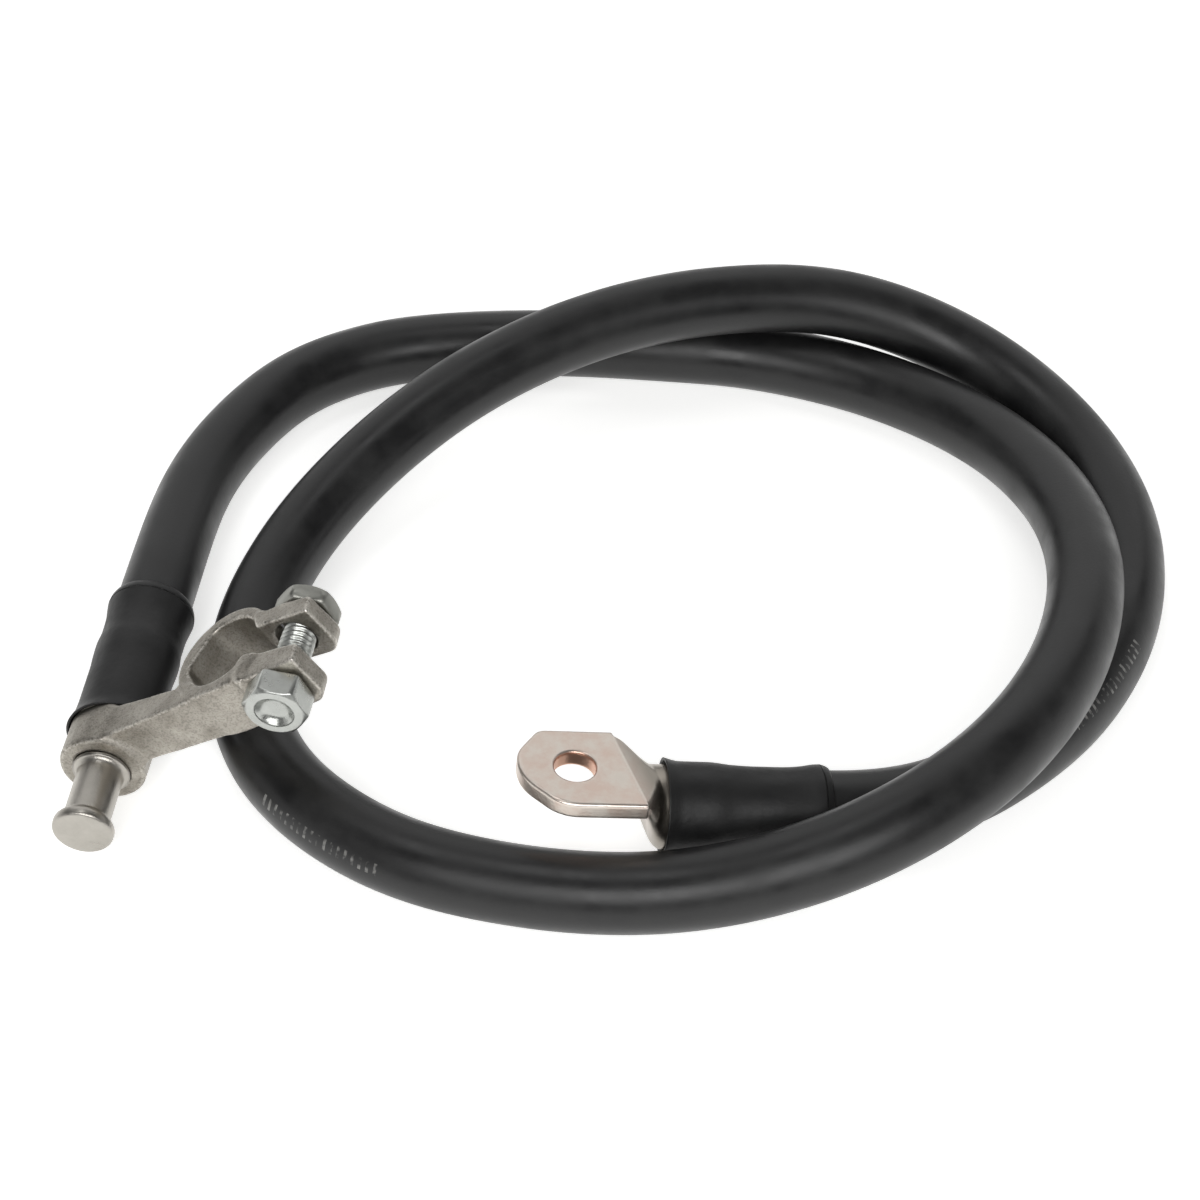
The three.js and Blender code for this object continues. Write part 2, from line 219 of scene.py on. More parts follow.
# The centreline that the cable's solid follows, from the lug's barrel to the stud's barrel
cableRoute = np.array([
    (61.3, -23.9, 12.4), (73.2, -23.1, 11.0), (85.0, -22.2, 9.7), (98.5, -19.0, 8.5),
    (112.7, -11.8, 8.4), (133.5, 7.1, 8.3), (148.8, 35.2, 8.3), (152.8, 67.0, 8.4),
    (143.8, 97.9, 9.5), (122.1, 120.3, 15.1), (92.2, 128.3, 23.2), (60.6, 124.6, 26.9),
    (30.3, 115.0, 26.4), (2.4, 99.5, 22.4), (-21.4, 78.9, 15.8), (-38.7, 52.6, 10.0),
    (-45.0, 21.3, 8.4), (-36.1, -9.3, 8.5), (-12.7, -30.9, 8.5), (17.8, -41.0, 8.6),
    (49.5, -44.5, 11.9), (80.2, -41.4, 20.6), (107.6, -26.2, 26.0), (127.2, -0.8, 25.8),
    (137.5, 29.6, 23.1), (137.6, 61.7, 17.1), (126.0, 91.0, 11.6), (102.6, 113.3, 8.7),
    (73.0, 125.6, 8.3), (44.9, 129.4, 8.5), (20.2, 131.3, 8.4), (-1.9, 130.8, 8.3),
    (-23.1, 126.8, 8.3), (-41.6, 116.0, 8.3), (-53.8, 98.8, 8.5), (-61.8, 78.6, 8.7),
    (-66.0, 44.7, 9.9), (-67.1, 32.7, 9.9), (-68.2, 20.7, 9.9),
])


def throughPoints(points, perSpan=40):
    # Centripetal Catmull-Rom curve: between two points, straight-line blends of blends over knots spaced by
    # the square root of the distance. Each end gets one point more, mirrored, as the solid's curve has.
    p = np.vstack([2 * points[0] - points[1], points, 2 * points[-1] - points[-2]])
    gap = np.sqrt(np.linalg.norm(np.diff(p, axis=0), axis=1))
    t0 = np.zeros(len(points) - 1)[:, None]
    t1 = t0 + gap[:-2, None]
    t2 = t1 + gap[1:-1, None]
    t3 = t2 + gap[2:, None]
    t = t1 + (t2 - t1) * np.linspace(0, 1, perSpan, endpoint=False)[None, :]
    t0, t1, t2, t3, t = [v[..., None] for v in (t0, t1, t2, t3, t)]
    p0, p1, p2, p3 = [p[i:len(p) - 3 + i][:, None] for i in range(4)]

    def blend(a, b, ta, tb):
        return (a * (tb - t) + b * (t - ta)) / (tb - ta)

    a = blend(p0, p1, t0, t1)
    b = blend(p1, p2, t1, t2)
    c = blend(p2, p3, t2, t3)
    curve = blend(blend(a, b, t0, t2), blend(b, c, t1, t3), t1, t2)
    return np.vstack([curve.reshape(-1, 3), points[-1:]])


def evenly(curve, step):
    # The same curve at equal steps of its length
    length = np.concatenate([[0], np.cumsum(np.linalg.norm(np.diff(curve, axis=0), axis=1))])
    s = np.linspace(0, length[-1], int(round(length[-1] / step)) + 1)
    return np.stack([np.interp(s, length, curve[:, i]) for i in range(3)], -1), s


def smoothed(curve, s, width):
    # Weighted means along the curve, exp(-(d/width)^2 / 2), with each end carried on straight
    step = s[1] - s[0]
    reach = int(3 * width / step)
    d = np.arange(-reach, reach + 1) * step
    weight = np.exp(-((d / width) ** 2) / 2)
    weight /= weight.sum()
    head = 2 * curve[0] - curve[reach:0:-1]
    tail = 2 * curve[-1] - curve[-2:-reach - 2:-1]
    longer = np.vstack([head, curve, tail])
    return np.stack([np.convolve(longer[:, i], weight, "valid") for i in range(3)], -1)


def sweep(curve, radius, sides):
    # Point c + r (cos a side + sin a up) on a circle at each point of the curve, where side is level
    forward = unit(np.gradient(curve, axis=0))
    side = unit(np.cross(forward, (0.0, 0.0, 1.0)))
    up = np.cross(side, forward)
    a = np.linspace(0, 2 * np.pi, sides, endpoint=False)[None, :, None]
    return curve[:, None] + radius * (np.cos(a) * side[:, None] + np.sin(a) * up[:, None])


cable = {
    "diameter": 16.5,
    "sides": 72,
    "step": 1.15,  # length of one ring of the mesh
    "unevenness": 0.06,  # how far the jacket wanders from a true circle
    "softness": 5.0,  # length over which the route's small kinks are evened out
    "pathStep": 4,  # rings from one point of a path to the next
    "tickPitch": 1.6,
    "tickWidth": 0.62,
    "tickReach": 1.35,  # half a tick's length, which runs round the jacket
}

# Rows of worn tick marks: start and end along the cable, and place round the jacket from its level side
tickRows = [(476.0, 505.0, 3.5), (74.0, 102.0, 6.8)]

routeCurve, routeLength = evenly(throughPoints(cableRoute), cable["step"])
routeCurve = smoothed(routeCurve, routeLength, cable["softness"])


def makeCable():
    # The route's tube, its radius less a seeded unevenness, closed by a fan of faces at each end
    rings = sweep(routeCurve, cable["diameter"] / 2, cable["sides"])
    centre = routeCurve[:, None]
    radius = cable["diameter"] / 2 - cable["unevenness"] * (0.5 + 0.5 * waves(rings, 3, 30.0, 2))
    rings = centre + unit(rings - centre) * radius[..., None]
    ends = [np.broadcast_to(routeCurve[i], (1, cable["sides"], 3)) for i in (0, -1)]
    rings = np.vstack([ends[0], rings, ends[1]])
    piece = meshObject("jacketed_cable", rings.reshape(-1, 3), skinFaces(*rings.shape[:2]), clean=False)
    # The mesh's own UV map holds the angle round the jacket and the distance along it, both in millimetres.
    s = np.concatenate([routeLength[:1], routeLength, routeLength[-1:]])
    a = np.linspace(0, 2 * np.pi, cable["sides"] + 1) * cable["diameter"] / 2
    k = np.arange(len(s) - 1)[:, None]
    j = np.arange(cable["sides"])[None, :]
    u = np.stack([a[j + 0 * k], a[j + 1 + 0 * k], a[j + 1 + 0 * k], a[j + 0 * k]], -1)
    v = np.stack([s[k + 0 * j], s[k + 0 * j], s[k + 1 + 0 * j], s[k + 1 + 0 * j]], -1)
    layer = piece.data.uv_layers.new(name="jacket")
    layer.data.foreach_set("uv", np.stack([u, v], -1).astype(np.float32).ravel())
    cleanMesh(piece.data)
    piece.data.shade_smooth()
    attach(piece, "root")
    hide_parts("cable")
    return piece


cablePiece = makeCable()
print("cable laid,", round(float(routeLength[-1])), "mm")


# Frames of the two terminals. The stud's has Y back along its axis. The clamp's has X along its arm, Y back
# through the eye and Z up the post bore. The lug's has X from its barrel to its tip and Z up.

terminal = {
    "gap": 0.3,  # between a piece and the one that it seats on
    "studBarrelEnd": 19.6,
    "clampRise": 34.5,
    "clampYaw": 1.4,  # how far the eye stands off square to the stud
    "clampSideways": 0.3,
}


def levelAcross(back):
    # The level direction square to it
    return unit(np.cross(back, (0.0, 0.0, 1.0)))


def studFrame():
    # Origin and axes, with the origin where the stud's axis leaves the clamp's eye
    back = unit(cableRoute[-2] - cableRoute[-1])
    level = levelAcross(back)
    origin = cableRoute[-1] - back * (terminal["studBarrelEnd"] + terminal["gap"])
    return origin, np.array([level, back, np.cross(level, back)])


def clampFrame():
    # The stud's direction turned about the vertical by -yaw: (x cos + y sin, y cos - x sin)
    origin, (_, back, _) = studFrame()
    yaw, rise = math.radians(terminal["clampYaw"]), math.radians(terminal["clampRise"])
    back = np.array([back[0] * math.cos(yaw) + back[1] * math.sin(yaw),
                     back[1] * math.cos(yaw) - back[0] * math.sin(yaw), 0.0])
    level = levelAcross(back)
    arm = level * math.cos(rise) + np.array([0.0, 0.0, math.sin(rise)])
    return origin + level * terminal["clampSideways"], np.array([arm, back, np.cross(arm, back)])


def lugFrame():
    # Origin at the barrel's mouth
    out = unit(cableRoute[0] - cableRoute[1])
    across = unit(np.cross((0.0, 0.0, 1.0), out))
    return cableRoute[0] + out * terminal["gap"], np.array([out, across, np.cross(out, across)])


def placed(points, place):
    # origin + x X + y Y + z Z
    origin, axes = place
    return origin + points @ axes


# Clamp, cast in one piece

clamp = {
    "cell": 0.3,
    "armFront": -11.4,
    "armTop": 7.1,
    "armBack": -1.9,
    "armBackSlope": 0.15,
    "armUnder": -3.3,
    "armUnderSlopes": (0.09, 0.1),
    "eyeRadius": 9.1,
    "eyeFront": -12.2,
    "eyeBack": -1.9,
    "eyeAboveArm": 1.9,
    "eyeHole": 5.9,
    "boreAt": 35.8,
    "boreRadius": 8.8,
    "ringWall": 2.8,
    "ringBottom": -5.3,
    "boreFlats": ((153, 7.6), (215, 8.4)),  # direction in degrees and distance from the bore's axis
    "earStart": 43.3,
    "earEnd": 57.8,
    "nearEarFront": -12.1,
    "nearEarBack": -5.9,  # this face and the next two at the bolt
    "farEarFront": 2.1,
    "farEarBack": 7.2,
    "earLean": 0.18,
    "farFrontLean": 0.12,
    "earCut": 2.2,
    "boltAt": (50.2, 1.0),
    "boltHole": 4.4,
    "edge": 0.8,  # rounding of the cast edges
    "fillet": 2.2,
}


def clampField(x, y, z):
    c = clamp
    edge = c["edge"]
    top = z - c["armTop"]
    # Arm: its back closes in on the front towards the ring, and its underside falls towards the ears.
    armBack = y - c["armBack"] + c["armBackSlope"] * np.clip(x, -3, 29)
    first, second = c["armUnderSlopes"]
    armBottom = c["armUnder"] - first * np.clip(x - 11, 0, 18) - second * np.clip(x - 29, 0, 8) - z
    arm = softMax(softMax(c["armFront"] - y, armBack, edge), softMax(top, armBottom, edge), edge)
    arm = softMax(arm, np.maximum(-x, x - c["boreAt"] - 8), edge)
    # Eye for the stud
    r = np.hypot(x, z)
    eye = softMax(r - c["eyeRadius"], np.maximum(c["eyeFront"] - y, y - c["eyeBack"]), edge * 1.3)
    eye = softMax(eye, top - c["eyeAboveArm"], edge)
    # Ring round the post bore
    rx = x - c["boreAt"]
    ringR = np.hypot(rx, y)
    height = np.maximum(top, c["ringBottom"] - z)
    ring = softMax(ringR - c["boreRadius"] - c["ringWall"], height, edge)
    ring = softMax(ring, c["armFront"] - y, edge)
    # Ears, whose faces lean towards the front, with their lower outer corners cut off at 45 degrees
    out = x - c["boltAt"][0]
    ends = softMax(x - c["earEnd"], c["earStart"] - x, edge)
    ends = softMax(ends, (x - c["earEnd"] + c["ringBottom"] - z + c["earCut"]) * math.sqrt(0.5), 1.0)
    earHeight = softMax(top, c["ringBottom"] - z, edge)
    nearBack = y + c["earLean"] * out - c["nearEarBack"]
    nearEar = softMax(softMax(c["nearEarFront"] - y, nearBack, edge), softMax(ends, earHeight, edge), edge)
    farFront = c["farEarFront"] - y - c["farFrontLean"] * out
    farBack = y + c["earLean"] * np.clip(out, 0, 9) - c["farEarBack"]
    farEar = softMax(softMax(farFront, farBack, edge), softMax(ends, earHeight, edge), edge)
    body = softMin(arm, eye, c["fillet"])
    body = softMin(body, ring, 1.2)
    body = softMin(body, nearEar, c["fillet"])
    body = softMin(body, farEar, 1.0)
    # Post bore with two flats, the slot between the ears, and the holes
    bore = ringR - c["boreRadius"]
    for angle, distance in c["boreFlats"]:
        a = math.radians(angle)
        bore = softMax(bore, rx * math.cos(a) + y * math.sin(a) - distance, 0.8)
    slot = np.maximum(np.maximum(-nearBack, -farFront), c["boreAt"] - x)
    body = softMax(body, -softMin(bore, slot, 0.6), edge)
    body = softMax(body, c["eyeHole"] - r, 0.6)
    boltHole = np.hypot(out, z - c["boltAt"][1]) - c["boltHole"]
    return softMax(body, -boltHole, 0.7)


def makeClamp():
    # The field's surface, moved by 0.05 mm of seeded noise as a sand casting's is
    c = clamp
    low, high = (-11, -15, -11), (c["earEnd"] + 2, 14, 11)
    points, faces = fieldMesh(clampField, low, high, c["cell"])
    wear = edgeSharpness(clampField, points)
    points = points + waves(points, 11, 9.0, 3)[:, None] * 0.05
    piece = meshObject("cast_clamp", placed(points, clampFrame()), faces, clean=False)
    addAttribute(piece, "wear", np.clip(wear * 2.2, 0, 1))
    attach(piece, "root")
    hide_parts("terminal_clamp")
    return piece


clampPiece = makeClamp()
print("clamp cast")


# Contact stud, turned in one piece with its crimp barrel

stud = {
    "headFace": -29.6,
    "headThickness": 2.9,
    "headRadius": 6.45,
    "pinRadius": 4.8,
    "collarRadius": 6.0,
    "collarFace": -13.1,
    "neckRadius": 5.3,
    "barrelRadius": 8.6,
    "sides": 96,
}


def makeStud():
    # Profile (r, h) from the head's middle to the barrel's, turned about the stud's axis
    s = stud
    face, head, pin = s["headFace"], s["headRadius"], s["pinRadius"]
    headBack = face + s["headThickness"]
    collar, end = s["collarFace"], terminal["studBarrelEnd"]
    eyeFront, eyeBack = clamp["eyeFront"] - terminal["gap"], clamp["eyeBack"] + terminal["gap"]
    corners = [
        (0, face), (head - 0.2, face + 0.15), (head, headBack - 0.4), (pin, headBack + 0.5),
        (pin, collar - 0.1), (s["collarRadius"], collar + 0.1), (s["collarRadius"], eyeFront),
        (s["neckRadius"], eyeFront), (s["neckRadius"], eyeBack), (s["barrelRadius"], eyeBack),
        (s["barrelRadius"], end), (0, end),
    ]
    radius = [0.9, 1.1, 0.9, 1.3, 0.35, 0.1, 0.1, 0.1, 0.5, 0.4]
    rings = lathe(rounded(corners, radius, 6), s["sides"])
    piece = meshObject("turned_stud", placed(rings.reshape(-1, 3), studFrame()), skinFaces(*rings.shape[:2]))
    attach(piece, "root")
    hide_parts("contact_stud")
    return piece


studPiece = makeStud()
print("stud turned")


# Clamp bolt and nut

fastener = {
    "acrossFlats": 12.0,
    "headHeight": 5.8,
    "headTurn": 10.0,
    "nutHeight": 4.0,
    "nutTurn": 12.0,
    "threadRadius": 3.6,
    "tilt": 3.0,  # the bolt leans in its clearance holes
    "threadDepth": 0.62,
    "pitch": 1.25,
    "length": 25.0,
    "recessRadius": 3.7,
    "recessDepth": 1.5,
    "chamferInset": 0.35,  # the chamfer's circle is this much inside the flats
    "chamferHeight": 0.95,
    "bluntCorner": 1.135,  # the corners' radius as a share of the flats' distance
    "sides": 96,
    "threadSides": 72,
}


def hexSkin(profile, sides, turn):
    # Each ring of a turned profile, cut to a hexagon: r = min(profile r, flat / cos(a off the flat's
    # middle)). The height stays the profile's, so the chamfer runs into the flats as an arc.
    a = np.linspace(0, 2 * np.pi, sides, endpoint=False)[None, :]
    flat = fastener["acrossFlats"] / 2
    off = (a - math.radians(turn)) % (np.pi / 3) - np.pi / 6
    hexagon = np.minimum(flat / np.cos(off), flat * fastener["bluntCorner"])
    r = np.minimum(profile[:, :1], hexagon)
    return np.stack([r * np.sin(a), profile[:, 1:] + 0 * a, r * np.cos(a)], -1)


def leaned(points):
    # Moves a piece that is turned about Y to the bolt's place and leans it there:
    # (x cos + y sin, y cos - x sin)
    seat = clamp["nearEarFront"] - terminal["gap"]
    a = math.radians(fastener["tilt"])
    x, y, z = points[:, 0], points[:, 1] - seat, points[:, 2]
    moved = np.stack([x * math.cos(a) + y * math.sin(a), seat + y * math.cos(a) - x * math.sin(a), z], -1)
    return moved + (clamp["boltAt"][0], 0.0, clamp["boltAt"][1])


def chamferPoints(face):
    # Profile (r, h) of a hexagon's chamfer, from inside the flats at the face down to the corners
    f = fastener
    flat = f["acrossFlats"] / 2
    t = np.linspace(0, 1, 7)[:, None]
    corner = flat / math.cos(math.pi / 6)
    inner = flat - f["chamferInset"]
    return np.hstack([inner + t * (corner - inner), face + t * f["chamferHeight"]])


def makeBolt():
    f = fastener
    seat = clamp["nearEarFront"] - terminal["gap"]
    face = seat - f["headHeight"]
    flat = f["acrossFlats"] / 2
    corner = flat / math.cos(math.pi / 6)
    rr, rd = f["recessRadius"], f["recessDepth"]
    recess = [(0, face + rd), (rr - 1.2, face + rd), (rr, face + 0.25), (rr + 0.35, face), (flat - 0.5, face)]
    profile = np.vstack([
        rounded(recess, [0.9, 0.5, 0.2]),
        chamferPoints(face)[1:],
        [(corner, seat - 0.5), (corner, seat - 0.25), (corner - 0.2, seat), (0, seat)],
    ])
    head = hexSkin(profile, f["sides"], f["headTurn"])
    # Thread: the radius falls by the depth times a rounded saw of the height less one pitch for each turn.
    tip = seat + f["length"]
    h = np.arange(seat - 0.5, tip + 0.01, f["pitch"] / 10)[:, None]
    a = np.linspace(0, 2 * np.pi, f["threadSides"], endpoint=False)[None, :]
    phase = (h / f["pitch"] - a / (2 * np.pi)) % 1
    saw = np.clip(np.abs(phase * 2 - 1) * 1.25 - 0.1, 0, 1)
    runOut = np.clip((tip - h) / 1.2, 0, 1)
    r = f["threadRadius"] - f["threadDepth"] * saw - 0.7 * (1 - runOut)
    shank = np.stack([r * np.sin(a), h + 0 * a, r * np.cos(a)], -1)
    caps = [np.zeros((1, f["threadSides"], 3)) + (0, h[i, 0], 0) for i in (0, -1)]
    shank = np.vstack([caps[0], shank, caps[1]])
    points = leaned(np.vstack([head.reshape(-1, 3), shank.reshape(-1, 3)]))
    headPoints = head.shape[0] * head.shape[1]
    faces = np.vstack([skinFaces(*head.shape[:2]), skinFaces(*shank.shape[:2]) + headPoints])
    piece = meshObject("zinc_bolt", placed(points, clampFrame()), faces)
    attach(piece, "root")
    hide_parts("clamp_bolt")
    return piece


def makeNut():
    f = fastener
    seat = clamp["farEarBack"] + terminal["gap"]
    out = seat + f["nutHeight"]
    flat = f["acrossFlats"] / 2
    corner = flat / math.cos(math.pi / 6)
    bore = f["threadRadius"] + 0.25
    profile = np.vstack([
        [(bore, seat + 0.4), (bore + 0.4, seat), (flat - f["chamferInset"], seat), (corner, seat + 0.5)],
        chamferPoints(-out)[-2::-1] * (1, -1),
        [(bore + 0.8, out), (bore, out - 0.8)],
    ])
    rings = hexSkin(profile, f["sides"], f["nutTurn"])
    piece = meshObject("zinc_nut", placed(leaned(rings.reshape(-1, 3)), clampFrame()),
                       skinFaces(*rings.shape[:2], joined=True))
    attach(piece, "root")
    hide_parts("clamp_nut")
    return piece


boltPiece = makeBolt()
nutPiece = makeNut()
print("bolt and nut made")


# Ring lug, a copper tube pressed flat at one end and tinned

lug = {
    "cell": 0.28,
    "barrelRadius": 8.6,
    "holeAt": 35.0,
    "holeRadius": 4.2,
    "sides": (-10.6, 11.1),
    "tip": 46.5,
    "farCut": (0.825, -0.567, 40.6),  # each cut's line: direction along and across, and distance
    "nearCut": (0.717, 0.697, 35.27),
    "corner": 1.2,  # rounding of the outline's corners
    "nearRounding": 2.4,  # how much rounder the near cut's corners are
    "thickness": 3.8,
    "top": 10.6,
    "bendAt": 24.0,  # along the axis, where the neck meets the palm
    "bendSkew": 0.27,
    "neckStart": 18.0,
    "twist": 5.8,
}


def lugTwisted(y, z):
    # Turns the palm about the barrel's axis: (y cos + z sin, z cos - y sin)
    a = math.radians(lug["twist"])
    return y * math.cos(a) + z * math.sin(a), z * math.cos(a) - y * math.sin(a)


def lugField(x, y, z):
    c = lug
    py, pz = lugTwisted(y, z)
    low, high = c["sides"]
    bent = x + c["bendSkew"] * py
    # Palm: a plate between two straight sides, a straight tip and a slanting cut at each corner of it
    outline = softMax(low - py, py - high, 0.1)
    outline = softMax(outline, x - c["tip"], c["corner"])
    for (along, across, distance), softer in ((c["farCut"], 1.0), (c["nearCut"], c["nearRounding"])):
        outline = softMax(outline, along * x + across * py - distance, softer * c["corner"])
    middle = c["top"] - c["thickness"] / 2
    plate = softMax(outline, np.abs(pz - middle) - c["thickness"] / 2, 0.8)
    plate = softMax(plate, c["bendAt"] - bent, 0.3)
    # Neck: its top climbs evenly to the palm and its underside climbs at once. Its sides open from the
    # barrel's circle to the palm's width, the near one first.
    share = np.clip((py + 4) / 8, 0, 1)
    opening = np.clip((x - 21) / 7, 0, 1) * (1 - share) + np.clip((x - 17.2) / 4.6, 0, 1) * share
    opening = opening * opening * (3 - 2 * opening)
    lift = np.clip((x + 0.2 * py - 17.6) / 6.4, 0, 1)
    lift = lift * lift * (3 - 2 * lift)
    climb = np.clip((bent - c["neckStart"]) / (c["bendAt"] - c["neckStart"]), 0, 1)
    over = c["barrelRadius"] + (c["top"] - c["barrelRadius"]) * climb
    under = -c["barrelRadius"] + (c["barrelRadius"] + c["top"] - c["thickness"]) * lift
    half = (over - under) / 2
    centre = (low + high) / 2 * opening
    wide = c["barrelRadius"] * (1 - opening) + (high - low) / 2 * opening
    # The corner's radius goes from the barrel's own to a small one at the palm.
    corner = np.minimum(half, c["barrelRadius"] * (1 - opening) + 1.9 * opening)
    qy = np.abs(py - centre) - (wide - corner)
    qz = np.abs(pz - (over + under) / 2) - (half - corner)
    section = np.hypot(np.maximum(qy, 0), np.maximum(qz, 0)) + np.minimum(np.maximum(qy, qz), 0) - corner
    neck = np.maximum(section, np.maximum(-x, bent - c["bendAt"] - 0.4))
    body = softMin(plate, neck, 0.25)
    hole = np.hypot(x - c["holeAt"], py) - c["holeRadius"]
    return softMax(body, -hole, 0.7)


def makeLug():
    c = lug
    low, high = (-1, -13, -10), (c["tip"] + 1.5, 13, 13.5)
    points, faces = fieldMesh(lugField, low, high, c["cell"])
    wear = edgeSharpness(lugField, points, 0.5)
    py, _ = lugTwisted(points[:, 1], points[:, 2])
    inHole = np.clip((c["holeRadius"] + 0.35 - np.hypot(points[:, 0] - c["holeAt"], py)) / 0.3, 0, 1)
    bent = points[:, 0] + c["bendSkew"] * py
    onNeck = np.clip((c["bendAt"] + 1 - bent) / 5, 0, 1)
    piece = meshObject("pressed_lug", placed(points, lugFrame()), faces, clean=False)
    addAttribute(piece, "wear", np.clip(wear * 2.0, 0, 1))
    addAttribute(piece, "copper", inHole)
    addAttribute(piece, "neck", onNeck)
    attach(piece, "root")
    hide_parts("cable_lug")
    return piece


lugPiece = makeLug()
print("lug pressed")


# Shrink sleeves

sleeve = {
    "wall": 0.6,
    "sides": 120,
    "clampSpan": (-2.2, 34.9),
    "lugSpan": (16.2, -17.6),
    "wrinkle": 0.12,  # how far the shrunk film wanders
}


def sleeveRings(outline, seed):
    # A tube's skin from its outline (r, h): out along it, round the end, and back inside it at r - wall. The
    # outside wanders by seeded noise.
    rings = lathe(outline, sleeve["sides"])
    inside = lathe(outline[::-1] - (sleeve["wall"], 0), sleeve["sides"])
    lumps = 1 - sleeve["wrinkle"] * (0.5 + 0.5 * waves(rings, seed, 12.0, 3)) / outline[:, :1]
    return np.vstack([rings * np.stack([lumps, np.ones_like(lumps), lumps], -1), inside])


def makeClampSleeve():
    start, end = sleeve["clampSpan"]
    outline = rounded([
        (9.9, start), (9.7, start + 0.7), (9.15, start + 2.4), (8.98, start + 5), (9.0, 14), (9.3, 18),
        (9.3, 20.5), (8.98, 23), (9.0, 28), (9.5, 31.5), (9.75, end - 1.4), (9.2, end),
    ], [0.4, 0.8, 1.5, 2.0, 1.5, 0.9, 1.2, 2.0, 1.5, 0.9], 6)
    rings = sleeveRings(outline, 21)
    # The lip laps over the eye's rim on the side away from the arm.
    rings[..., 1] += 0.085 * rings[..., 0] * np.exp(-(rings[..., 1] - start) / 5)
    piece = meshObject("clamp_shrink", placed(rings.reshape(-1, 3), studFrame()),
                       skinFaces(*rings.shape[:2], joined=True))
    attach(piece, "root")
    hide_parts("clamp_sleeve")
    return piece


def makeLugSleeve():
    start, end = sleeve["lugSpan"]
    outline = rounded([
        (10.05, start), (9.85, start - 0.7), (9.4, start - 2.4), (9.32, start - 5), (9.3, 6.0), (8.9, 3.0),
        (8.68, -1.0), (8.68, -9.5), (9.0, -12.5), (9.5, end + 2.6), (9.45, end + 1.0), (8.9, end),
    ], [0.4, 0.8, 1.5, 1.4, 1.4, 1.2, 1.6, 1.2, 1.2, 0.8], 6)
    rings = sleeveRings(outline * (1, -1), 22)
    # The lathe turns about Y; here its height runs against the lug's X axis.
    rings = np.stack([-rings[..., 1], rings[..., 0], rings[..., 2]], -1)
    piece = meshObject("lug_shrink", placed(rings.reshape(-1, 3), lugFrame()),
                       skinFaces(*rings.shape[:2], joined=True))
    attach(piece, "root")
    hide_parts("lug_sleeve")
    return piece


clampSleevePiece = makeClampSleeve()
lugSleevePiece = makeLugSleeve()
print("sleeves shrunk on")


# Materials

def newMaterial(name):
    # A material and its empty node tree
    material = bpy.data.materials.new(name)
    material.use_nodes = True
    tree = material.node_tree
    tree.nodes.clear()
    return material, tree


def add(tree, kind, settings=None, **links):
    # Adds a node. A setting is one of the node's own, or with "in:" the value of an input by name or number.
    # A link is an input's name, or i and its number, and the socket that it takes its value from.
    node = tree.nodes.new(kind)
    for key, value in (settings or {}).items():
        if key.startswith("in:"):
            name = key[3:]
            socket = node.inputs[int(name)] if name.isdigit() else node.inputs[name]
            socket.default_value = value
        else:
            setattr(node, key, value)
    for key, socket in links.items():
        name = key.replace("_", " ")
        target = node.inputs[int(name[1:])] if name[1:].isdigit() else node.inputs[name]
        tree.links.new(socket, target)
    return node


def finishMaterial(tree, shader):
    add(tree, "ShaderNodeOutputMaterial", None, Surface=shader.outputs[0])


def perMetre(millimetres):
    # A texture's scale for a pattern of that size
    return 1000.0 / millimetres


